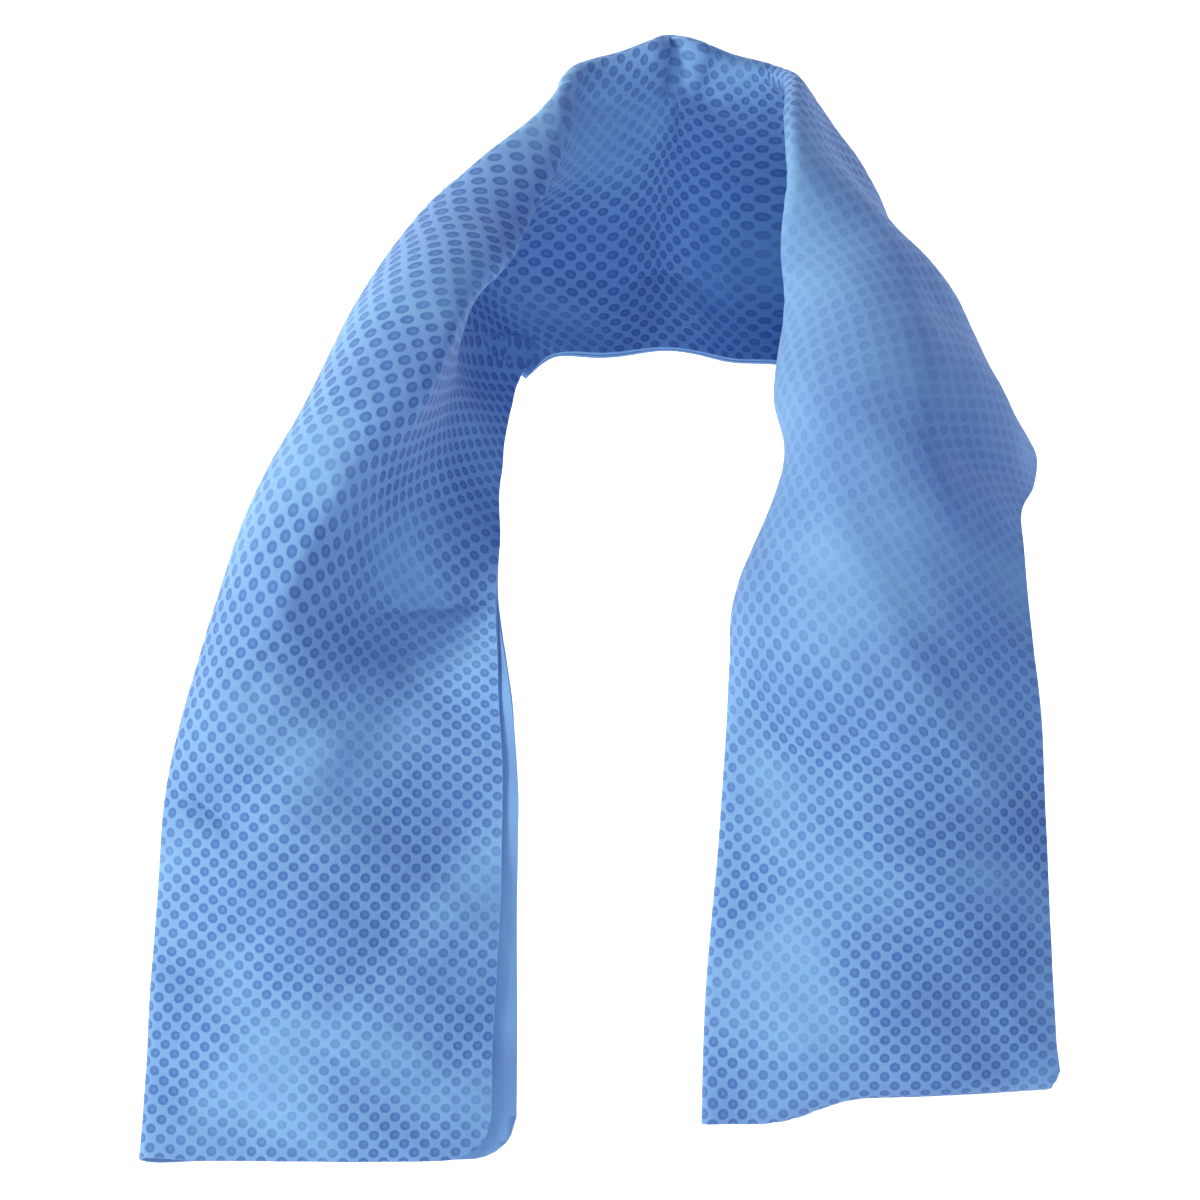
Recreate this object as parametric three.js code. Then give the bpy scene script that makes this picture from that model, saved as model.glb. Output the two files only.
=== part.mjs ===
// Cooling towel: one sheet of sponge-like cloth, folded in half along its length and worn round
// the neck as an upside-down U. Millimetres, +Z up, +X to the wearer's left, the chest at -Y.
// The origin is on the neck side of the cloth, at the nape.
import * as THREE from 'three';

// The sheet as it is cut
const sheetWidth = 305;
const wall = 1.6;
const cornerRadius = 19;

// How it is folded: the clear space between the two layers, and the round loop along the fold
const layerGap = 1.4;
const foldLoop = 9;
const foldLoopFade = 16;

// The right leg's end curls back under itself: how much of it curls at the open edge, how round,
// and the share of the width over which the curl grows from nothing at the fold
const endCurl = 20;
const endCurlRadius = 10;
const endCurlGrowth = 0.45;

// How it is worn: the width over both legs, the depth from collar to chest, the drop from the top
// of the collar to the lowest corner, how far the nape lies below the top of the collar, and how
// far the collar bows out behind the line of its edges there
const span = 393;
const depth = 105;
const drop = 492;
const napeBelowTop = 80;
const collarBow = 18;

// How finely the solid is divided
const rowCount = 80;
const endRows = [5, 10, 15];
const stepsAcross = 9;
const stepsRoundFold = 4;
const edgeSteps = [1, 4, 10];
const sectionSteps = 48;
const stepsPerStation = 12;

const foldedWidth = sheetWidth / 2;
const endZone = 18;
const degree = Math.PI / 180;

// Each row is a section across the folded cloth, from the left leg's end over the nape to the right
// leg's end. x, front and down place the middle of the section as shares of span, depth and drop.
// chord is the straight distance from the fold to the open edge as a share of the folded width.
// tilt turns that line in the front view (0 to the right, -90 downwards) and swing turns the open
// edge away from the chest, both in degrees. round and wave mix a single bow towards the neck side
// with a double bow, skew under 1 draws them towards the fold, and shift makes the neck-side layer
// narrower than the other one, as a share of the folded width.
const stations = table(
  ['x', 'front', 'down', 'chord', 'tilt', 'swing', 'round', 'wave', 'skew', 'shift'],
  [
    [-0.349, 0.97, 0.991, 0.993, 0, -2, 1.0, 0.0, 1.0, 0.035],
    [-0.344, 0.99, 0.883, 0.978, -2, -2, 1.0, 0.0, 1.0, 0.035],
    [-0.337, 1.00, 0.771, 0.960, -2, -1, 1.0, 0.3, 1.0, 0.025],
    [-0.330, 1.01, 0.667, 0.938, -2, -2, 1.0, 1.0, 0.9, 0.020],
    [-0.316, 0.99, 0.569, 0.842, -7, -4, 0.55, 0.9, 0.85, 0.015],
    [-0.297, 0.93, 0.479, 0.725, -17, -2, 0.45, 0.8, 0.9, 0.0],
    [-0.270, 0.79, 0.400, 0.620, -25, 14, 0.6, 0.55, 1.0, 0.0],
    [-0.244, 0.63, 0.322, 0.615, -40, 26, 0.6, 0.5, 0.95, 0.0],
    [-0.210, 0.46, 0.255, 0.675, -57, 36, 0.4, 0.65, 0.85, 0.0],
    [-0.168, 0.29, 0.206, 0.708, -72, 37, 0.15, 0.85, 0.75, 0.0],
    [-0.131, 0.13, 0.178, 0.765, -85, 29, 0.0, 1.0, 0.7, 0.0],
    [-0.089, 0.03, 0.155, 0.825, -91, 16, -0.3, 0.8, 0.8, 0.0],
    [-0.032, -0.03, 0.147, 0.870, -91, 9, -0.6, 0.6, 0.8, 0.0],
    [0.035, -0.06, 0.136, 0.900, -90, 9, -0.8, 0.4, 0.8, 0.0],
    [0.102, -0.16, 0.148, 0.880, -90, 9, -0.8, 0.4, 0.8, 0.0],
    [0.160, -0.17, 0.155, 0.862, -87, 8, -0.9, 0.2, 0.8, 0.0],
    [0.208, 0.00, 0.174, 0.915, -77, 7, -1.0, 0.0, 0.8, 0.0],
    [0.251, 0.24, 0.206, 0.965, -63, 9, -1.0, 0.0, 0.8, 0.0],
    [0.285, 0.45, 0.240, 0.950, -50, 9, -1.0, 0.0, 0.7, 0.0],
    [0.296, 0.60, 0.284, 0.910, -40, 5, -1.0, 0.0, 0.6, 0.0],
    [0.294, 0.74, 0.329, 0.830, -35, -1, -1.0, 0.0, 0.5, 0.0],
    [0.2805, 0.85, 0.378, 0.735, -26, -6, -1.0, 0.0, 0.5, 0.0],
    [0.291, 0.92, 0.431, 0.659, -20, -9, -1.0, 0.0, 0.5, 0.0],
    [0.2645, 0.98, 0.520, 0.818, -12, -8, -1.0, 0.0, 0.5, 0.0],
    [0.264, 1.01, 0.582, 0.855, -9, -6, -1.0, 0.0, 0.6, 0.0],
    [0.2635, 1.00, 0.654, 0.870, -7, -4, -1.0, 0.3, 0.7, 0.0],
    [0.262, 0.98, 0.745, 0.902, -5, -3, -1.0, 0.3, 0.8, 0.0],
    [0.2595, 0.97, 0.850, 0.948, -2, -2, -1.0, 0.0, 1.0, 0.0],
    [0.2625, 0.95, 0.955, 0.987, 2, 0, -1.0, 0.0, 1.0, -0.01],
  ],
);

// Dents and ridges of the folded cloth. along and across place the middle of each one as shares of
// the sheet's length and the folded width. turn is the angle from the length of the cloth to the
// dent's own length. long, wide and high are shares of the folded width, and high is positive
// towards the neck side.
const dents = table(
  ['along', 'across', 'turn', 'long', 'wide', 'high'],
  [
    // The left leg's crease that runs to its inner edge, with the cloth above it leaning over
    [0.262, 0.75, 80, 0.45, 0.14, 0.035],
    [0.225, 0.75, 80, 0.45, 0.10, -0.030],
    // The ridge of the roll over the left shoulder, which runs down and out over the leg
    [0.300, 0.48, 25, 0.55, 0.14, 0.040],
    // The short slanting crease by the left leg's fold
    [0.155, 0.25, 40, 0.22, 0.09, -0.030],
    [0.125, 0.45, 50, 0.30, 0.16, 0.025],
    // The pinched top of the collar, with a swelling to its right
    [0.510, 0.10, 90, 0.20, 0.07, -0.035],
    [0.545, 0.30, 90, 0.28, 0.10, 0.040],
    // Waves along the collar's lower edge
    [0.485, 0.95, 90, 0.30, 0.09, -0.025],
    [0.515, 0.95, 90, 0.30, 0.09, 0.025],
    // The shallow dent and the soft swellings of the right leg
    [0.845, 0.35, 70, 0.40, 0.16, 0.040],
    [0.800, 0.55, 80, 0.50, 0.20, -0.030],
    [0.930, 0.60, 80, 0.50, 0.20, 0.020],
  ],
);

function table(columns, rows) {
  return rows.map((row) => Object.fromEntries(columns.map((name, i) => [name, row[i]])));
}

function lerpSmooth(a, b, c, d, t) {
  return 0.5 * (2 * b + (c - a) * t + (2 * a - 5 * b + 4 * c - d) * t * t
    + (3 * b - a - 3 * c + d) * t * t * t);
}

// The row between two stations, with every column on a smooth curve through the table
function stationAt(place) {
  const last = stations.length - 1;
  const index = Math.min(Math.max(Math.floor(place), 0), last - 1);
  const near = [index - 1, index, index + 1, index + 2]
    .map((i) => stations[Math.min(Math.max(i, 0), last)]);
  const row = {};
  for (const name of Object.keys(stations[0])) {
    row[name] = lerpSmooth(...near.map((station) => station[name]), place - index);
  }
  return row;
}

function middleOf(row) {
  return new THREE.Vector3(
    row.x * span, -collarBow - row.front * depth, napeBelowTop - row.down * drop);
}

// The bowed line across the cloth, as steps along and square to its chord, for one bow strength
function bowedLine(row, strength) {
  const points = [[0, 0]];
  for (let i = 0; i < sectionSteps; i += 1) {
    const turn = Math.PI * ((i + 0.5) / sectionSteps) ** row.skew;
    const angle = strength * (row.round * Math.cos(turn) + row.wave * Math.cos(2 * turn));
    const [a, b] = points[i];
    points.push([a + Math.cos(angle) / sectionSteps, b + Math.sin(angle) / sectionSteps]);
  }
  return points;
}

function reach(points) {
  const [a, b] = points[points.length - 1];
  return Math.hypot(a, b);
}

// The bow strength is the one that leaves the fold and the open edge the chord apart, so the cloth
// keeps its full width however far its edges close up
function fittedLine(row) {
  let low = 0;
  let high = 2;
  for (let i = 0; i < 24; i += 1) {
    const strength = (low + high) / 2;
    if (reach(bowedLine(row, strength)) > row.chord) {
      low = strength;
    } else {
      high = strength;
    }
  }
  const points = bowedLine(row, low);
  const [endA, endB] = points[points.length - 1];
  const length = Math.hypot(endA, endB);
  return points.map(([a, b]) => [
    (a * endA + b * endB) / length - length / 2,
    (b * endA - a * endB) / length,
  ]);
}

// A section of the middle surface, which lies between the two layers. The points of a row share
// their sections, so each is worked out once.
const sections = new Map();

function sectionAt(place) {
  if (!sections.has(place)) {
    sections.set(place, makeSection(place));
  }
  return sections.get(place);
}

function makeSection(place) {
  const row = stationAt(place);
  const tilt = row.tilt * degree;
  const swing = row.swing * degree;
  const toEdge = new THREE.Vector3(
    Math.cos(swing) * Math.cos(tilt), Math.sin(swing), Math.cos(swing) * Math.sin(tilt));
  const onward = middleOf(stationAt(place + 0.05)).sub(middleOf(stationAt(place - 0.05)));
  const toNeckSide = new THREE.Vector3().crossVectors(toEdge, onward).normalize();
  const line = fittedLine(row);
  const middle = middleOf(row);
  const along = alongAt(place);
  onward.normalize();
  const pointAt = (across) => {
    const step = Math.min(Math.max(across * sectionSteps, 0), sectionSteps - 1e-9);
    const i = Math.floor(step);
    const t = across * sectionSteps - i;
    const a = line[i][0] + (line[i + 1][0] - line[i][0]) * t;
    const b = line[i][1] + (line[i + 1][1] - line[i][1]) * t;
    const [back, up] = curlShift(along, across);
    return middle.clone()
      .addScaledVector(toEdge, a * foldedWidth)
      .addScaledVector(onward, back)
      .addScaledVector(toNeckSide, (b + dentHeight(along, across)) * foldedWidth + up);
  };
  return { pointAt };
}

// How far the curl at the right leg's end moves a point along the cloth and towards the neck side
function curlShift(along, across) {
  const grown = Math.min(Math.max(across / endCurlGrowth, 0), 1);
  const curled = Math.max(0, along - (sheetLength - endCurl * grown ** 2 * (3 - 2 * grown)));
  const turn = curled / endCurlRadius;
  return [endCurlRadius * Math.sin(turn) - curled, endCurlRadius * (1 - Math.cos(turn))];
}

// Lengths along the middle of the cloth, so that rows can be set at equal steps
const lengths = [{ place: 0, along: 0 }];
for (let i = 1; i <= (stations.length - 1) * stepsPerStation; i += 1) {
  const place = i / stepsPerStation;
  const before = lengths[i - 1];
  const step = middleOf(stationAt(place)).distanceTo(middleOf(stationAt(before.place)));
  lengths.push({ place, along: before.along + step });
}
const sheetLength = lengths[lengths.length - 1].along;

function alongAt(place) {
  const i = Math.min(Math.max(Math.ceil(place * stepsPerStation), 1), lengths.length - 1);
  const [a, b] = [lengths[i - 1], lengths[i]];
  return a.along + ((b.along - a.along) * (place - a.place)) / (b.place - a.place);
}

// How high all dents together lift the cloth at one point, as a share of the folded width
function dentHeight(along, across) {
  return dents.reduce((sum, dent) => {
    const onward = (along - dent.along * sheetLength) / foldedWidth;
    const outward = across - dent.across;
    const turn = dent.turn * degree;
    const lengthwise = (onward * Math.cos(turn) + outward * Math.sin(turn)) / dent.long;
    const crosswise = (outward * Math.cos(turn) - onward * Math.sin(turn)) / dent.wide;
    return sum + dent.high * Math.exp(-(lengthwise ** 2) - crosswise ** 2);
  }, 0);
}

function placeAt(along) {
  const i = Math.max(1, lengths.findIndex((entry) => entry.along >= Math.min(along, sheetLength)));
  const [a, b] = [lengths[i - 1], lengths[i]];
  return a.place + ((b.place - a.place) * (along - a.along)) / (b.along - a.along);
}

// How far a rounded corner draws back the end of the sheet, at a distance from its open edge
function cornerInset(fromEdge) {
  const inward = Math.max(0, cornerRadius - fromEdge);
  return cornerRadius - Math.sqrt(Math.max(0, cornerRadius ** 2 - inward ** 2));
}

// Distances from the fold to the points of one layer, closer together at the open edge
function stepsToEdge(width) {
  const inner = width - edgeSteps[edgeSteps.length - 1];
  const steps = [];
  for (let i = 0; i <= stepsAcross; i += 1) {
    steps.push((inner * i) / stepsAcross);
  }
  for (const fromEdge of [...edgeSteps].reverse().slice(1)) {
    steps.push(width - fromEdge);
  }
  steps.push(width);
  return steps;
}

// The clear space between the layers opens from the flat cloth into the round loop at the fold
function halfSpace(fromFold) {
  const flat = (layerGap + wall) / 2;
  return flat + ((foldLoop - wall) / 2 - flat) * Math.exp(-((fromFold / foldLoopFade) ** 2));
}

// One row of points on the middle of the wall, each with its way out of the folded cloth: the
// neck-side layer from its open edge to the fold, round the fold, and the outer layer back to its
// open edge
function wallRow(along) {
  const cornerReach = 3 * cornerRadius;
  const row = stationAt(placeAt(along));
  const loop = halfSpace(0);
  const half = foldedWidth - (Math.PI / 2) * loop;
  const draw = (fromFold, width) => {
    const inset = cornerInset(width - fromFold);
    const nearStart = Math.max(0, 1 - along / cornerReach);
    const nearEnd = Math.max(0, 1 - (sheetLength - along) / cornerReach);
    return along + inset * nearStart ** 2 - inset * nearEnd ** 2;
  };
  const frameAt = (fromFold, width) => {
    const place = placeAt(draw(fromFold, width));
    const across = fromFold / half;
    const here = sectionAt(place);
    const middle = here.pointAt(across);
    const ahead = sectionAt(place + 0.05).pointAt(across);
    const behind = sectionAt(place - 0.05).pointAt(across);
    const toEdge = here.pointAt(across + 0.02).sub(here.pointAt(across - 0.02)).normalize();
    const normal = new THREE.Vector3().crossVectors(toEdge, ahead.sub(behind)).normalize();
    return { middle, toEdge, normal };
  };
  const layer = (side) => {
    const width = half - side * row.shift * foldedWidth;
    return stepsToEdge(width).map((fromFold) => {
      const { middle, normal } = frameAt(fromFold, width);
      const outward = normal.multiplyScalar(side);
      return { point: middle.addScaledVector(outward, halfSpace(fromFold)), outward };
    });
  };
  const { middle, toEdge, normal } = frameAt(0, half);
  const round = [];
  for (let i = 1; i < stepsRoundFold; i += 1) {
    const angle = (Math.PI * i) / stepsRoundFold;
    const outward = normal.clone().multiplyScalar(Math.cos(angle))
      .addScaledVector(toEdge, -Math.sin(angle));
    round.push({ point: middle.clone().addScaledVector(outward, loop), outward });
  }
  return [...layer(1).reverse(), ...round, ...layer(-1)];
}

// Where the rows lie along the sheet: equal steps, with closer ones at both ends
function rowPlaces() {
  const places = endRows.flatMap((fromEnd) => [fromEnd, sheetLength - fromEnd]);
  for (let r = 0; r <= rowCount; r += 1) {
    const place = (sheetLength * r) / rowCount;
    if (r === 0 || r === rowCount || !(place < endZone || place > sheetLength - endZone)) {
      places.push(place);
    }
  }
  return places.sort((a, b) => a - b);
}

// The closed solid: an outer and an inner skin half a wall to each side of the middle of the wall,
// joined along the open edges and at both ends
function towelGeometry() {
  const rows = rowPlaces().map(wallRow);
  const last = rows.length - 1;
  const count = rows[0].length;
  const positions = [];
  for (const side of [1, -1]) {
    for (const { point, outward } of rows.flat()) {
      const skin = point.clone().addScaledVector(outward, (side * wall) / 2);
      positions.push(skin.x, skin.y, skin.z);
    }
  }
  const outer = (r, i) => r * count + i;
  const inner = (r, i) => rows.length * count + r * count + i;
  const faces = [];
  const quad = (a, b, c, d) => faces.push(a, b, c, a, c, d);
  for (let r = 0; r < last; r += 1) {
    for (let i = 0; i < count - 1; i += 1) {
      // Both layers are split along the same diagonals, so their flat faces stay apart
      if (i < (count - 1) / 2) {
        quad(outer(r, i), outer(r + 1, i), outer(r + 1, i + 1), outer(r, i + 1));
        quad(inner(r, i), inner(r, i + 1), inner(r + 1, i + 1), inner(r + 1, i));
      } else {
        quad(outer(r + 1, i), outer(r + 1, i + 1), outer(r, i + 1), outer(r, i));
        quad(inner(r, i + 1), inner(r + 1, i + 1), inner(r + 1, i), inner(r, i));
      }
    }
    quad(outer(r, 0), inner(r, 0), inner(r + 1, 0), outer(r + 1, 0));
    quad(outer(r, count - 1), outer(r + 1, count - 1), inner(r + 1, count - 1), inner(r, count - 1));
  }
  for (let i = 0; i < count - 1; i += 1) {
    quad(outer(0, i), outer(0, i + 1), inner(0, i + 1), inner(0, i));
    quad(outer(last, i), inner(last, i), inner(last, i + 1), outer(last, i + 1));
  }
  const geometry = new THREE.BufferGeometry();
  geometry.setAttribute('position', new THREE.Float32BufferAttribute(positions, 3));
  geometry.setIndex(faces);
  geometry.computeVertexNormals();
  return geometry;
}

function clothMaterial() {
  return new THREE.MeshStandardMaterial({ color: 0x6c98d0, roughness: 0.85, metalness: 0 });
}

const towel = new THREE.Mesh(towelGeometry(), clothMaterial());
towel.name = 'towel';

const coolingTowel = new THREE.Group();
coolingTowel.add(towel);

export default coolingTowel;
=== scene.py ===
import math

import bpy
import numpy as np
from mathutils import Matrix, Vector


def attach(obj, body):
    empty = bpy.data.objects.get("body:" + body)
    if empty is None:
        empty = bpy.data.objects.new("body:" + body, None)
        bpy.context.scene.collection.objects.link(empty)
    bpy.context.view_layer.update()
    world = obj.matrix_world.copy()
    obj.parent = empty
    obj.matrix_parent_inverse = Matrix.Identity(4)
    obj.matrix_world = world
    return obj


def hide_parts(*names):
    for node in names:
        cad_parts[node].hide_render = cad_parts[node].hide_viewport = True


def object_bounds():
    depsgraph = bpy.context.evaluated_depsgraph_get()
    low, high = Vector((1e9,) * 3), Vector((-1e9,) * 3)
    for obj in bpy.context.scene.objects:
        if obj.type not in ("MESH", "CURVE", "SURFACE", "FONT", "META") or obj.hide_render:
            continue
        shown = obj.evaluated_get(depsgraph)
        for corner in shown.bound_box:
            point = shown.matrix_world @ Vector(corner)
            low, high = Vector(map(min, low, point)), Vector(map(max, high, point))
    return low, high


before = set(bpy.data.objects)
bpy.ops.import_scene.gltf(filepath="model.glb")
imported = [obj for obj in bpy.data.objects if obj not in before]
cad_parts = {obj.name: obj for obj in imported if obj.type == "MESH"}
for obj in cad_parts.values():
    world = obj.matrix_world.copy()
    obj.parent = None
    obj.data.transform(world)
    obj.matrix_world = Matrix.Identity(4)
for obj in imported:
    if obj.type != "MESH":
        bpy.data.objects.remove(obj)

cad_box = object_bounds()
mm = 0.001

# The sheet. The real towel is one sheet of sponge cloth, a felt-like foam of polyvinyl alcohol that
# stays soft while it is damp. It is cut 305 mm wide and about 1016 mm long with round corners and
# plain edges, and one face is pressed all over with rows of small round dots. Its length here is
# the path along the middle of the shape, and the dots' repeats are fitted to both sizes.
sheet_width = 305 * mm
cloth_thickness = 1.3 * mm
corner_radius = 19 * mm
dots_across = 36.5
dots_along = 130
dot_radius = 2.05 * mm
dot_depth = 0.35 * mm
mesh_steps_per_dot = 4

# How it is folded in half along its length, and how it is worn: the same sizes as the solid's,
# but for its two layers, which lie closer together
layer_gap = 0.5 * mm
fold_loop = 9 * mm
fold_loop_fade = 16 * mm
end_curl = 20 * mm
end_curl_radius = 10 * mm
end_curl_growth = 0.45
span = 393 * mm
depth = 105 * mm
drop = 492 * mm
nape_below_top = 80 * mm
collar_bow = 18 * mm
folded_width = sheet_width / 2

# Each row is a section across the folded cloth, from the left leg's end over the nape to the right
# leg's end. x, front and down place its middle as shares of span, depth and drop, chord is the
# straight distance from the fold to the open edge as a share of the folded width, tilt and swing
# are that line's angles in the front view and away from the chest, round and wave mix a single bow
# with a double one, skew under 1 draws them towards the fold, and shift makes the neck-side layer
# narrower.
columns = ["x", "front", "down", "chord", "tilt", "swing", "round", "wave", "skew", "shift"]
stations = np.array([
    [-0.349, 0.97, 0.991, 0.993, 0, -2, 1.0, 0.0, 1.0, 0.035],
    [-0.344, 0.99, 0.883, 0.978, -2, -2, 1.0, 0.0, 1.0, 0.035],
    [-0.337, 1.00, 0.771, 0.960, -2, -1, 1.0, 0.3, 1.0, 0.025],
    [-0.330, 1.01, 0.667, 0.938, -2, -2, 1.0, 1.0, 0.9, 0.020],
    [-0.316, 0.99, 0.569, 0.842, -7, -4, 0.55, 0.9, 0.85, 0.015],
    [-0.297, 0.93, 0.479, 0.725, -17, -2, 0.45, 0.8, 0.9, 0.0],
    [-0.270, 0.79, 0.400, 0.620, -25, 14, 0.6, 0.55, 1.0, 0.0],
    [-0.244, 0.63, 0.322, 0.615, -40, 26, 0.6, 0.5, 0.95, 0.0],
    [-0.210, 0.46, 0.255, 0.675, -57, 36, 0.4, 0.65, 0.85, 0.0],
    [-0.168, 0.29, 0.206, 0.708, -72, 37, 0.15, 0.85, 0.75, 0.0],
    [-0.131, 0.13, 0.178, 0.765, -85, 29, 0.0, 1.0, 0.7, 0.0],
    [-0.089, 0.03, 0.155, 0.825, -91, 16, -0.3, 0.8, 0.8, 0.0],
    [-0.032, -0.03, 0.147, 0.870, -91, 9, -0.6, 0.6, 0.8, 0.0],
    [0.035, -0.06, 0.136, 0.900, -90, 9, -0.8, 0.4, 0.8, 0.0],
    [0.102, -0.16, 0.148, 0.880, -90, 9, -0.8, 0.4, 0.8, 0.0],
    [0.160, -0.17, 0.155, 0.862, -87, 8, -0.9, 0.2, 0.8, 0.0],
    [0.208, 0.00, 0.174, 0.915, -77, 7, -1.0, 0.0, 0.8, 0.0],
    [0.251, 0.24, 0.206, 0.965, -63, 9, -1.0, 0.0, 0.8, 0.0],
    [0.285, 0.45, 0.240, 0.950, -50, 9, -1.0, 0.0, 0.7, 0.0],
    [0.296, 0.60, 0.284, 0.910, -40, 5, -1.0, 0.0, 0.6, 0.0],
    [0.294, 0.74, 0.329, 0.830, -35, -1, -1.0, 0.0, 0.5, 0.0],
    [0.2805, 0.85, 0.378, 0.735, -26, -6, -1.0, 0.0, 0.5, 0.0],
    [0.291, 0.92, 0.431, 0.659, -20, -9, -1.0, 0.0, 0.5, 0.0],
    [0.2645, 0.98, 0.520, 0.818, -12, -8, -1.0, 0.0, 0.5, 0.0],
    [0.264, 1.01, 0.582, 0.855, -9, -6, -1.0, 0.0, 0.6, 0.0],
    [0.2635, 1.00, 0.654, 0.870, -7, -4, -1.0, 0.3, 0.7, 0.0],
    [0.262, 0.98, 0.745, 0.902, -5, -3, -1.0, 0.3, 0.8, 0.0],
    [0.2595, 0.97, 0.850, 0.948, -2, -2, -1.0, 0.0, 1.0, 0.0],
    [0.2625, 0.95, 0.955, 0.987, 2, 0, -1.0, 0.0, 1.0, -0.01],
])

# Dents and ridges. along and across place the middle of each one as shares of the sheet's length
# and the folded width, turn is the angle from the cloth's length to the dent's own length, and
# long, wide and high are shares of the folded width, with high positive towards the neck side.
dent_columns = ["along", "across", "turn", "long", "wide", "high"]
dents = np.array([
    # The left leg's crease that runs to its inner edge, with the cloth above it leaning over
    [0.262, 0.75, 80, 0.45, 0.14, 0.035],
    [0.225, 0.75, 80, 0.45, 0.10, -0.030],
    # The ridge of the roll over the left shoulder, which runs down and out over the leg
    [0.300, 0.48, 25, 0.55, 0.14, 0.040],
    # The short slanting crease by the left leg's fold
    [0.155, 0.25, 40, 0.22, 0.09, -0.030],
    [0.125, 0.45, 50, 0.30, 0.16, 0.025],
    # The pinched top of the collar, with a swelling to its right
    [0.510, 0.10, 90, 0.20, 0.07, -0.035],
    [0.545, 0.30, 90, 0.28, 0.10, 0.040],
    # Waves along the collar's lower edge
    [0.485, 0.95, 90, 0.30, 0.09, -0.025],
    [0.515, 0.95, 90, 0.30, 0.09, 0.025],
    # The shallow dent and the soft swellings of the right leg
    [0.845, 0.35, 70, 0.40, 0.16, 0.040],
    [0.800, 0.55, 80, 0.50, 0.20, -0.030],
    [0.930, 0.60, 80, 0.50, 0.20, 0.020],
])

# Sharp creases, each from one place on the cloth to another, as shares of the sheet's length and of
# the folded width. Their crest is a sharp line; fold_side and open_side are the widths of its two
# slopes and high its height, as shares of the folded width. They are made only here. Most of them
# are finer than the solid's mesh, but the ridge along the roll is a broad one: it stands on the
# lower, softer ridge that the dents give the solid too.
crease_columns = ["along", "across", "to_along", "to_across", "fold_side", "open_side", "high"]
creases = np.array([
    # The tail of the left shoulder's roll down the leg, and the ridge along the roll
    [0.175, 0.23, 0.220, 0.30, 0.060, 0.060, -0.012],
    [0.215, 0.28, 0.302, 0.49, 0.200, 0.080, 0.075],
    [0.292, 0.49, 0.379, 0.27, 0.220, 0.060, 0.120],
    [0.369, 0.29, 0.450, -0.02, 0.180, 0.050, 0.110],
    # The crease that runs into the left leg's inner edge, and the short one by its fold
    [0.228, 0.55, 0.256, 1.06, 0.140, 0.045, -0.060],
    [0.138, 0.23, 0.150, 0.07, 0.035, 0.035, -0.024],
    [0.130, 0.20, 0.143, 0.03, 0.050, 0.050, 0.016],
    # The pinched pleat at the top of the collar
    [0.499, -0.06, 0.500, 0.17, 0.030, 0.070, -0.110],
    [0.491, -0.04, 0.492, 0.15, 0.060, 0.050, 0.045],
    [0.510, -0.04, 0.511, 0.15, 0.060, 0.080, 0.060],
    # The valley under the collar's rolled top, and the pocket's edge
    [0.447, 0.06, 0.500, 0.20, 0.050, 0.090, -0.040],
    [0.505, 0.19, 0.523, 0.17, 0.050, 0.090, -0.045],
    [0.523, 0.17, 0.535, 0.40, 0.060, 0.060, -0.050],
    [0.512, 0.92, 0.523, 0.41, 0.060, 0.080, 0.040],
    [0.554, 0.08, 0.561, 0.04, 0.030, 0.030, -0.020],
    # The collar's short flat crease, its faint upright one and the waves of its lower edge
    [0.484, 0.74, 0.517, 0.73, 0.040, 0.030, -0.026],
    [0.482, 0.44, 0.483, 0.65, 0.030, 0.030, -0.016],
    [0.470, 0.80, 0.474, 1.04, 0.060, 0.060, -0.024],
    # The lower edge of the right leg's dent
    [0.833, 0.50, 0.873, 0.15, 0.090, 0.140, 0.034],
])

crest_roundness = 0.01

# The pleat at the inner corner of the left shoulder, where the collar folds over the leg
pleat_middle = 0.401
pleat_lean = 0.13
pleat_start = 0.56
pleat_half_width = 9 * mm
pleat_overlap = 15 * mm
pleat_rise = 7 * mm

# The left leg's end kicks forward by its fold, so that the loop of the fold shows
end_kick = 28 * mm
end_kick_radius = 60 * mm
end_kick_width = 0.55

# Slow ripples that a damp cloth keeps: wave length along and across, phase and height
ripples = [
    (61 * mm, 97 * mm, 0.6, 0.55 * mm),
    (83 * mm, -58 * mm, 2.1, 0.50 * mm),
    (39 * mm, 71 * mm, 4.0, 0.30 * mm),
    (47 * mm, -33 * mm, 5.2, 0.22 * mm),
    (24 * mm, 29 * mm, 1.3, 0.12 * mm),
]


def curve_through(rows, place):
    """The table's values at places between its rows, on a smooth curve through the rows."""
    last = len(rows) - 1
    index = np.clip(np.floor(place).astype(int), 0, last - 1)
    before, start, end, after = (rows[np.clip(index + step, 0, last)] for step in (-1, 0, 1, 2))
    t = (place - index)[:, None]
    return 0.5 * (2 * start + (end - before) * t + (2 * before - 5 * start + 4 * end - after) * t**2
                  + (3 * start - before - 3 * end + after) * t**3)


def stations_at(place):
    values = curve_through(stations, place)
    return {name: values[:, i] for i, name in enumerate(columns)}


def middle_of(row):
    return np.stack([
        row["x"] * span,
        -collar_bow - row["front"] * depth,
        nape_below_top - row["down"] * drop,
    ], axis=1)


def length_of(vectors):
    return np.sqrt((vectors**2).sum(axis=-1, keepdims=True))


def unit(vectors):
    return vectors / np.maximum(length_of(vectors), 1e-12)


# The middle surface between the two layers, worked out on a fine net: sections along the cloth and
# steps across it, a little past the open edge for the layer that stands out there
sections_per_station = 32
steps_across_net = 128
steps_past_edge = 6
net_places = np.linspace(0, len(stations) - 1, (len(stations) - 1) * sections_per_station + 1)
net_middles = middle_of(stations_at(net_places))
net_lengths = np.concatenate([[0], np.cumsum(length_of(np.diff(net_middles, axis=0))[:, 0])])
sheet_length = net_lengths[-1]
dot_pitch_across = sheet_width / dots_across
dot_pitch_along = sheet_length / dots_along


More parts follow.
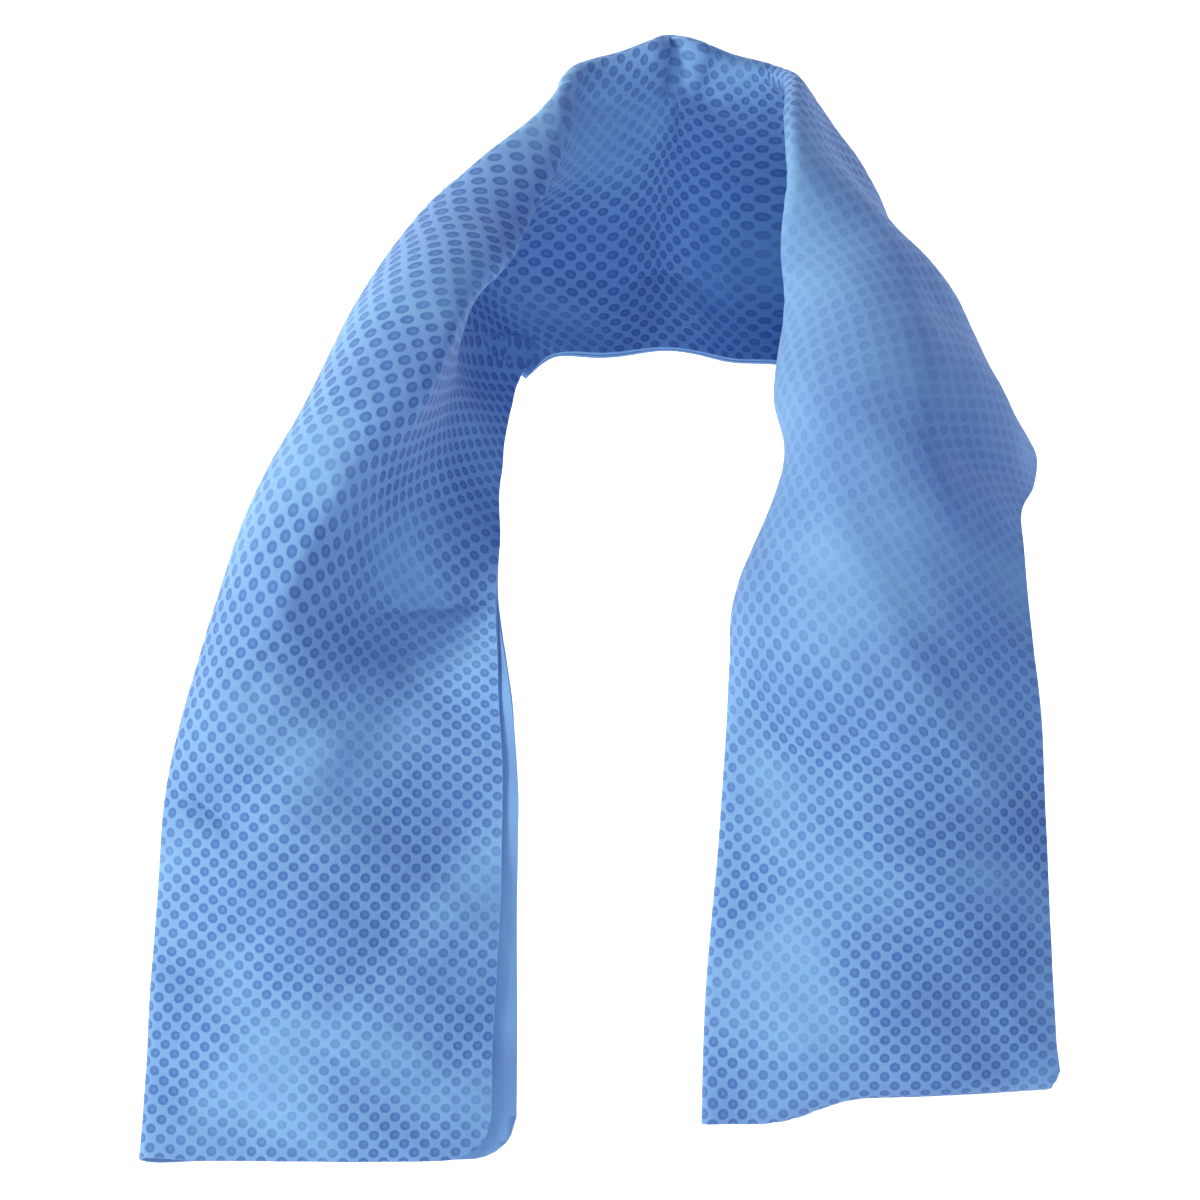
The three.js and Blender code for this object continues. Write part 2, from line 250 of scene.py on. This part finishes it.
def bowed_lines(row):
    """Lines across the cloth whose bow is just strong enough to bring their ends the chord apart."""
    step = (np.arange(steps_across_net + steps_past_edge) + 0.5) / steps_across_net
    turn = np.pi * np.minimum(step, 1)[None, :] ** row["skew"][:, None]
    shape = row["round"][:, None] * np.cos(turn) + row["wave"][:, None] * np.cos(2 * turn)
    inside = shape[:, :steps_across_net]
    low = np.zeros(len(turn))
    high = np.full(len(turn), 2.0)
    for _ in range(24):
        strength = (low + high) / 2
        angle = strength[:, None] * inside
        longer = np.hypot(np.cos(angle).mean(axis=1), np.sin(angle).mean(axis=1)) > row["chord"]
        low = np.where(longer, strength, low)
        high = np.where(longer, high, strength)
    angle = low[:, None] * shape
    start = np.zeros((len(turn), 1))
    a = np.concatenate([start, np.cumsum(np.cos(angle), axis=1) / steps_across_net], axis=1)
    b = np.concatenate([start, np.cumsum(np.sin(angle), axis=1) / steps_across_net], axis=1)
    end_a = a[:, steps_across_net, None]
    end_b = b[:, steps_across_net, None]
    reach = np.hypot(end_a, end_b)
    return (a * end_a + b * end_b) / reach - reach / 2, (b * end_a - a * end_b) / reach


def dent_height(along, across):
    """How far the dents together lift the cloth, as a share of the folded width."""
    total = np.zeros(np.broadcast(along, across).shape)
    for dent in dents:
        d = dict(zip(dent_columns, dent))
        onward = (along - d["along"] * sheet_length) / folded_width
        outward = across - d["across"]
        turn = math.radians(d["turn"])
        lengthwise = (onward * math.cos(turn) + outward * math.sin(turn)) / d["long"]
        crosswise = (outward * math.cos(turn) - onward * math.sin(turn)) / d["wide"]
        total += d["high"] * np.exp(-lengthwise**2 - crosswise**2)
    return total


def crease_height(along, across):
    """How far the creases together lift the cloth. crest_roundness keeps their crests just short
    of a knife edge."""
    total = np.zeros(np.broadcast(along, across).shape)
    for crease in creases:
        c = dict(zip(crease_columns, crease))
        run = (c["to_along"] - c["along"]) * sheet_length / folded_width
        rise = c["to_across"] - c["across"]
        far = math.hypot(run, rise)
        onward = (along - c["along"] * sheet_length) / folded_width
        outward = across - c["across"]
        lengthwise = (onward * run + outward * rise) / far**2 * 2 - 1
        sideways = (outward * run - onward * rise) / far
        crosswise = sideways / np.where(sideways > 0, c["open_side"], c["fold_side"])
        total += c["high"] * np.exp(-lengthwise**4 - np.sqrt(crosswise**2 + crest_roundness))
    return total


def smooth_step(share):
    share = np.clip(share, 0, 1)
    return share**2 * (3 - 2 * share)


def pleat_shift(along, across):
    """A Z-fold: the collar's side moves over the leg in front, the leg's side under it."""
    line = (pleat_middle + pleat_lean * (across - 0.9)) * sheet_length
    t = (along - line) / pleat_half_width
    bend = t * np.exp((1 - t**2) / 2) * smooth_step((across - pleat_start) / (1 - pleat_start))
    return -pleat_overlap * bend, pleat_rise * bend


def kick_height(along, across):
    near = np.maximum(0, end_kick - along)
    return near**2 / (2 * end_kick_radius) * (1 - smooth_step(across / end_kick_width))


def ripple_height(along, across):
    total = np.zeros(np.broadcast(along, across).shape)
    for wave_along, wave_across, phase, height in ripples:
        angle = along / wave_along + across * folded_width / wave_across
        total += height * np.sin(2 * math.pi * angle + phase)
    return total


def curl_shift(along, across):
    """How far the right leg's curled end moves a point along the cloth and to the neck side."""
    curled = np.maximum(0, along - (sheet_length - end_curl * smooth_step(across / end_curl_growth)))
    turn = curled / end_curl_radius
    return end_curl_radius * np.sin(turn) - curled, end_curl_radius * (1 - np.cos(turn))


def make_net():
    row = stations_at(net_places)
    tilt = np.radians(row["tilt"])
    swing = np.radians(row["swing"])
    to_edge = np.stack(
        [np.cos(swing) * np.cos(tilt), np.sin(swing), np.cos(swing) * np.sin(tilt)], axis=1)
    onward = unit(np.gradient(net_middles, axis=0))
    to_neck = unit(np.cross(to_edge, onward))
    a, b = bowed_lines(row)
    across = np.arange(a.shape[1]) / steps_across_net
    place = (net_lengths[:, None], across[None, :])
    b = b + dent_height(*place) + crease_height(*place)
    curl_back, curl_up = curl_shift(*place)
    pleat_back, pleat_up = pleat_shift(*place)
    back = curl_back + pleat_back
    up = curl_up + pleat_up + kick_height(*place) + ripple_height(*place)
    return (net_middles[:, None, :] + (a * folded_width)[:, :, None] * to_edge[:, None, :]
            + back[:, :, None] * onward[:, None, :]
            + (b * folded_width + up)[:, :, None] * to_neck[:, None, :])


net = make_net()
net_normals = unit(np.cross(np.gradient(net, axis=1), np.gradient(net, axis=0)))


def sample(values, along, across):
    """Reads the net between its points, at lengths along the cloth and shares across it."""
    i = np.interp(along, net_lengths, np.arange(len(net_lengths)))
    j = np.clip(across, 0, None) * steps_across_net
    i0 = np.clip(np.floor(i).astype(int), 0, values.shape[0] - 2)
    j0 = np.clip(np.floor(j).astype(int), 0, values.shape[1] - 2)
    ti = (i - i0)[..., None]
    tj = (j - j0)[..., None]
    near = values[i0, j0] * (1 - tj) + values[i0, j0 + 1] * tj
    far = values[i0 + 1, j0] * (1 - tj) + values[i0 + 1, j0 + 1] * tj
    return near * (1 - ti) + far * ti


def half_space(from_fold):
    flat = (layer_gap + cloth_thickness) / 2
    loop = (fold_loop - cloth_thickness) / 2
    return flat + (loop - flat) * np.exp(-((from_fold / fold_loop_fade) ** 2))


def place_cloth(s, v):
    """Points on the middle of the cloth, s from edge to edge and v along the sheet."""
    shift = np.interp(v, net_lengths, stations_at(net_places)["shift"]) * folded_width
    loop = half_space(0)
    quarter = math.pi / 2 * loop
    w = s + shift
    side = np.where(w < 0, 1.0, -1.0)
    from_fold = np.maximum(np.abs(w) - quarter, 0)
    across = from_fold / (folded_width - quarter)
    point = sample(net, v, across)
    normal = unit(sample(net_normals, v, across))
    flat_part = point + normal * (side * half_space(from_fold))[..., None]
    edgeward = unit(sample(net, v, np.full_like(v, 0.02)) - sample(net, v, np.zeros_like(v)))
    angle = np.clip(w / quarter, -1, 1) * math.pi / 2
    round_part = (point - normal * (np.sin(angle) * loop)[..., None]
                  - edgeward * (np.cos(angle) * loop)[..., None])
    return np.where((np.abs(w) < quarter)[..., None], round_part, flat_part)


def corner_inset(s):
    """How far a round corner draws back the end of the sheet, by the distance from its edge."""
    inward = np.maximum(0, corner_radius - (sheet_width / 2 - np.abs(s)))
    return corner_radius - np.sqrt(np.maximum(0, corner_radius**2 - inward**2))


def dot_press(s, v):
    """How deep the dots press the face: 1 in the middle of a dot, 0 between them."""
    deepest = np.zeros(s.shape)
    for half in (0.0, 0.5):
        a = (s / dot_pitch_across + half) % 1 - 0.5
        b = (v / dot_pitch_along + half) % 1 - 0.5
        far = np.hypot(a * dot_pitch_across, b * dot_pitch_along) / dot_radius
        deepest = np.maximum(deepest, np.clip(1.15 - far, 0, 1))
    return deepest


def skin(count_across, count_along, side, dots):
    """One face of the cloth as a grid of points, with the sheet's own coordinates of each point."""
    s, v = np.meshgrid(np.linspace(-sheet_width / 2, sheet_width / 2, count_across + 1),
                       np.linspace(0, sheet_length, count_along + 1))
    inset = corner_inset(s)
    v = np.clip(v, inset, sheet_length - inset)
    middle = place_cloth(s, v)
    step = 0.5 * mm
    across = place_cloth(s + step, v) - place_cloth(s - step, v)
    along = place_cloth(s, v + step) - place_cloth(s, v - step)
    outward = unit(np.cross(along, across))
    height = side * cloth_thickness / 2 - dots * dot_depth * dot_press(s, v)
    return middle + outward * height[..., None], s, v


def towel_mesh():
    """A closed skin: the dotted face fine enough for its dots, the plain reverse half as fine."""
    across = round(dots_across * mesh_steps_per_dot)
    along = round(dots_along * mesh_steps_per_dot)
    face, s, v = skin(across, along, 1, 1)
    back, back_s, back_v = skin(across // 2, along // 2, -1, 0)
    points = np.concatenate([face.reshape(-1, 3), back.reshape(-1, 3)])
    uv = np.concatenate([np.stack([s, v], axis=-1).reshape(-1, 2),
                         np.stack([back_s, back_v], axis=-1).reshape(-1, 2)])

    def grid_faces(rows, width, first, turned):
        i, j = np.meshgrid(np.arange(rows), np.arange(width), indexing="ij")
        a = first + (i * (width + 1) + j).ravel()
        loop = [a, a + width + 1, a + width + 2, a + 1]
        return np.stack(loop[::-1] if turned else loop, axis=1).tolist()

    first_back = face.shape[0] * face.shape[1]
    faces = grid_faces(along, across, 0, False)
    face_count = len(faces)
    faces += grid_faces(along // 2, across // 2, first_back, True)

    def front(row, column):
        return row * (across + 1) + column

    def rear(row, column):
        return first_back + row * (across // 2 + 1) + column

    rim = [(front(r, 0), rear(r // 2, 0), r % 2) for r in range(along + 1)]
    rim += [(front(along, c), rear(along // 2, c // 2), c % 2) for c in range(1, across + 1)]
    rim += [(front(r, across), rear(r // 2, across // 2), r % 2)
            for r in range(along - 1, -1, -1)]
    rim += [(front(0, c), rear(0, c // 2), c % 2) for c in range(across - 1, 0, -1)]
    for i in range(0, len(rim), 2):
        fine = [rim[(i + k) % len(rim)][0] for k in (0, 1, 2)]
        coarse = [rim[(i + k) % len(rim)][1] for k in (0, 2)]
        faces.append([fine[0], coarse[0], fine[1]])
        faces.append([fine[1], coarse[0], coarse[1]])
        faces.append([fine[1], coarse[1], fine[2]])
    mesh = bpy.data.meshes.new("towel_cloth")
    mesh.from_pydata(points.tolist(), [], faces)
    mesh.update()
    layer = mesh.uv_layers.new(name="sheet")
    corner = np.zeros(len(mesh.loops), dtype=np.int32)
    mesh.loops.foreach_get("vertex_index", corner)
    layer.data.foreach_set("uv", uv[corner].astype(np.float32).ravel())
    slots = np.ones(len(mesh.polygons), dtype=np.int32)
    slots[:face_count] = 0
    mesh.polygons.foreach_set("material_index", slots)
    return mesh


towel = bpy.data.objects.new("cooling_towel", towel_mesh())
bpy.context.scene.collection.objects.link(towel)

bpy.ops.object.select_all(action="DESELECT")
towel.select_set(True)
bpy.context.view_layer.objects.active = towel
bpy.ops.object.mode_set(mode="EDIT")
bpy.ops.mesh.select_all(action="SELECT")
bpy.ops.mesh.remove_doubles(threshold=0.01 * mm)
bpy.ops.mesh.dissolve_degenerate(threshold=0.01 * mm)
bpy.ops.object.mode_set(mode="OBJECT")
bpy.ops.object.shade_smooth_by_angle(angle=math.radians(50))


def linear(hex_colour):
    """An sRGB hex colour as the linear values that a shader reads."""
    parts = [int(hex_colour[i:i + 2], 16) / 255 for i in (1, 3, 5)]
    return [c / 12.92 if c <= 0.04045 else ((c + 0.055) / 1.055) ** 2.4 for c in parts] + [1]


def node(tree, kind, inputs=(), **settings):
    """Adds a node. inputs gives each socket, by name or number, a value or another node's output."""
    new = tree.nodes.new(kind)
    for name, value in settings.items():
        setattr(new, name, value)
    for socket, value in dict(inputs).items():
        if isinstance(value, bpy.types.NodeSocket):
            tree.links.new(value, new.inputs[socket])
        else:
            new.inputs[socket].default_value = value
    return new


# Where the dots fade out and come back along the sheet, as shares of its length, and how faint they
# get in between
fade_starts = (0.58, 0.67)
fade_ends = (0.76, 0.85)
faint_dots = 0.35


def sponge_cloth(name, dotted):
    """Polyvinyl alcohol sponge cloth, damp: a matt felt-like foam with fine open pores, whose dye
    takes unevenly, so that it shows soft paler and bluer patches. The pressed dots are denser and
    so darker; each has a paler middle inside a darker ring at its pressed wall, and that ring is
    painted shade of the wall. The dots fade on the upper part of the right leg."""
    material = bpy.data.materials.new(name)
    material.use_nodes = True
    tree = material.node_tree
    tree.nodes.clear()
    sheet = node(tree, "ShaderNodeUVMap", uv_map="sheet").outputs[0]
    patches = node(tree, "ShaderNodeTexNoise",
                   {"Vector": sheet, "Scale": 1 / (70 * mm), "Detail": 2.0, "Roughness": 0.45})
    clouds = node(tree, "ShaderNodeTexNoise",
                  {"Vector": sheet, "Scale": 1 / (20 * mm), "Detail": 3.0, "Roughness": 0.5})
    pores = node(tree, "ShaderNodeTexNoise",
                 {"Vector": sheet, "Scale": 1 / (0.9 * mm), "Detail": 3.0, "Roughness": 0.65})
    pale = node(tree, "ShaderNodeMapRange", {0: patches.outputs[0], 1: 0.38, 2: 0.64})
    bluer = node(tree, "ShaderNodeMapRange", {0: clouds.outputs[0], 1: 0.5, 2: 0.75, 4: 0.35})
    grain = node(tree, "ShaderNodeMapRange", {0: pores.outputs[0], 1: 0.35, 2: 0.65, 4: 0.16})
    base = node(tree, "ShaderNodeMix", {0: pale.outputs[0], 6: linear("#6c9ad2"),
                                        7: linear("#7aaedc")}, data_type="RGBA")
    base = node(tree, "ShaderNodeMix", {0: bluer.outputs[0], 6: base.outputs[2],
                                        7: linear("#668ccc")}, data_type="RGBA")
    base = node(tree, "ShaderNodeMix", {0: grain.outputs[0], 6: base.outputs[2],
                                        7: linear("#8eb8e2")}, data_type="RGBA")
    height = node(tree, "ShaderNodeMath", {0: pores.outputs[0], 1: 0.12}, operation="MULTIPLY")
    if dotted:
        far = []
        for half in (0.0, 0.5):
            cell = node(tree, "ShaderNodeVectorMath", {
                0: sheet, 1: (1 / dot_pitch_across, 1 / dot_pitch_along, 0), 2: (half, half, 0.5),
            }, operation="MULTIPLY_ADD")
            within = node(tree, "ShaderNodeVectorMath", {0: cell.outputs[0]}, operation="FRACTION")
            from_dot = node(tree, "ShaderNodeVectorMath", {
                0: within.outputs[0], 1: (-0.5, -0.5, -0.5)}, operation="ADD")
            scaled = node(tree, "ShaderNodeVectorMath", {0: from_dot.outputs[0], 1: (
                dot_pitch_across / dot_radius, dot_pitch_along / dot_radius, 0),
            }, operation="MULTIPLY")
            far.append(node(tree, "ShaderNodeVectorMath", {0: scaled.outputs[0]},
                            operation="LENGTH").outputs[1])
        near = node(tree, "ShaderNodeMath", {0: far[0], 1: far[1]}, operation="MINIMUM")
        uneven = node(tree, "ShaderNodeMath", {0: clouds.outputs[0], 1: 0.3, 2: near.outputs[0]},
                      operation="MULTIPLY_ADD")
        dot = node(tree, "ShaderNodeMapRange", {0: uneven.outputs[0], 1: 1.30, 2: 0.98},
                   interpolation_type="SMOOTHSTEP")
        # Mask for painted shade: 0 in a dot's middle, growing to 1 at its rim, where the darker ring
        # stands in for the shade on the dot's pressed wall
        middle = node(tree, "ShaderNodeMapRange", {0: uneven.outputs[0], 1: 0.25, 2: 0.85},
                      interpolation_type="SMOOTHSTEP")
        faded = node(tree, "ShaderNodeMapRange", {0: patches.outputs[0], 1: 0.66, 2: 0.46,
                                                  3: 0.35, 4: 1.0})
        place = node(tree, "ShaderNodeSeparateXYZ", {0: sheet})
        leaving = node(tree, "ShaderNodeMapRange", {
            0: place.outputs[1], 1: fade_starts[0] * sheet_length, 2: fade_starts[1] * sheet_length,
            3: 1.0, 4: faint_dots})
        returning = node(tree, "ShaderNodeMapRange", {
            0: place.outputs[1], 1: fade_ends[0] * sheet_length, 2: fade_ends[1] * sheet_length,
            3: faint_dots, 4: 1.0})
        clear = node(tree, "ShaderNodeMath", {0: leaving.outputs[0], 1: returning.outputs[0]},
                     operation="MAXIMUM")
        kept = node(tree, "ShaderNodeMath", {0: faded.outputs[0], 1: clear.outputs[0]},
                    operation="MULTIPLY")
        strength = node(tree, "ShaderNodeMath", {0: dot.outputs[0], 1: kept.outputs[0]},
                        operation="MULTIPLY")
        # Dot colour: the dots' own darker tone, with a ring of painted shade at the rim around a
        # paler middle
        dot_colour_with_painted_rim_shade = node(tree, "ShaderNodeMix", {0: middle.outputs[0], 6: linear("#5a86c0"),
                                            7: linear("#4872b4")}, data_type="RGBA")
        base = node(tree, "ShaderNodeMix", {0: strength.outputs[0], 6: base.outputs[2],
                                            7: dot_colour_with_painted_rim_shade.outputs[2]}, data_type="RGBA")
        height = node(tree, "ShaderNodeMath", {0: strength.outputs[0], 1: -0.5,
                                               2: height.outputs[0]}, operation="MULTIPLY_ADD")
    bump = node(tree, "ShaderNodeBump",
                {"Height": height.outputs[0], "Strength": 0.7, "Distance": 0.5 * mm})
    shader = node(tree, "ShaderNodeBsdfPrincipled", {
        "Base Color": base.outputs[2],
        "Normal": bump.outputs[0],
        "Roughness": 0.82,
        "IOR": 1.45,
        "Specular IOR Level": 0.3,
        "Sheen Weight": 0.1,
        "Sheen Roughness": 0.5,
    })
    node(tree, "ShaderNodeOutputMaterial", {0: shader.outputs[0]})
    return material


towel.data.materials.append(sponge_cloth("dotted_sponge_cloth", True))
towel.data.materials.append(sponge_cloth("plain_sponge_cloth", False))

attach(towel, "root")
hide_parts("towel")

# The studio. A sweep of white paper stands behind and under the towel, which keeps its height above
# it. It is modelled as a plane whose back edge is drawn up and rounded.
floor_drop = 60 * mm
sweep_front = -3.5
sweep_back = 3.2
sweep_radius = 0.9
sweep_height = 3.2
sweep_half_width = 4.5
floor_height = cad_box[0][2] - floor_drop


def select_edge_at(target, place_y, place_z):
    """Selects the edge that lies along X at one place, ready for the next step in edit mode."""
    bpy.ops.mesh.select_all(action="DESELECT")
    bpy.ops.object.mode_set(mode="OBJECT")
    for edge in target.data.edges:
        ends = [target.data.vertices[i].co for i in edge.vertices]
        edge.select = all(abs(end.y - place_y) + abs(end.z - place_z) < 1e-4 for end in ends)
    bpy.ops.object.mode_set(mode="EDIT")


bpy.ops.object.select_all(action="DESELECT")
bpy.ops.mesh.primitive_plane_add(size=1)
sweep = bpy.context.object
sweep.name = "studio_sweep"
bpy.ops.object.mode_set(mode="EDIT")
bpy.ops.mesh.select_mode(type="EDGE")
bpy.ops.mesh.select_all(action="SELECT")
bpy.ops.transform.resize(value=(2 * sweep_half_width, sweep_back - sweep_front, 1))
bpy.ops.transform.translate(value=(0, (sweep_back + sweep_front) / 2, floor_height))
select_edge_at(sweep, sweep_back, floor_height)
bpy.ops.mesh.extrude_region_move(TRANSFORM_OT_translate={"value": (0, 0, sweep_height)})
select_edge_at(sweep, sweep_back, floor_height)
bpy.ops.mesh.bevel(offset=sweep_radius, segments=16)
bpy.ops.object.mode_set(mode="OBJECT")
bpy.ops.object.shade_smooth()
paper = bpy.data.materials.new("white_paper")
paper.use_nodes = True
paper.node_tree.nodes["Principled BSDF"].inputs["Base Color"].default_value = linear("#f4f4f4")
paper.node_tree.nodes["Principled BSDF"].inputs["Roughness"].default_value = 0.9
sweep.data.materials.append(paper)


def soft_light(name, place, target, size, power, colour):
    lamp = bpy.data.lights.new(name, "AREA")
    lamp.shape = "DISK"
    lamp.size = size
    lamp.energy = power
    lamp.color = linear(colour)[:3]
    lamp_object = bpy.data.objects.new(name, lamp)
    lamp_object.location = place
    lamp_object.rotation_euler = (Vector(target) - Vector(place)).to_track_quat("-Z", "Y").to_euler()
    bpy.context.scene.collection.objects.link(lamp_object)


soft_light("key_light", (-1.75, -1.15, 0.35), (0, -0.05, -0.1), 0.5, 37, "#fff4dc")
soft_light("fill_light", (0.35, -2.3, -0.25), (0, -0.05, 0), 1.0, 12, "#eeeaff")
soft_light("top_light", (-0.7, 0.35, 1.1), (0, 0, 0), 0.5, 8, "#fff4dc")
soft_light("backdrop_light_left", (-1.7, 1.5, 1.3), (0.3, 2.8, -0.4), 1.0, 58, "#ffffff")
soft_light("backdrop_light_right", (1.7, 1.5, 1.3), (-0.3, 2.8, -0.4), 1.0, 58, "#ffffff")

world = bpy.data.worlds.new("studio")
bpy.context.scene.world = world
world.use_nodes = True
world.node_tree.nodes["Background"].inputs[0].default_value = linear("#c2caff")
world.node_tree.nodes["Background"].inputs[1].default_value = 0.31
bpy.context.scene.view_settings.view_transform = "Standard"

# The camera looks straight on, as the photograph does. The photograph's frame is 1200 pixels wide,
# with 0.4286 mm to a pixel at the legs.
photo_width = 1200
millimetres_per_pixel = 0.4286
camera_distance = 2.2
aim = Vector((-20 * mm, -depth - collar_bow, -168 * mm))
camera_data = bpy.data.cameras.new("camera")
camera_data.lens_unit = "FOV"
camera_data.angle = 2 * math.atan(photo_width / 2 * millimetres_per_pixel * mm / camera_distance)
camera = bpy.data.objects.new("camera", camera_data)
camera.location = aim - Vector((0, camera_distance, 0))
camera.rotation_euler = (math.radians(90), 0, 0)
bpy.context.scene.collection.objects.link(camera)
bpy.context.scene.camera = camera
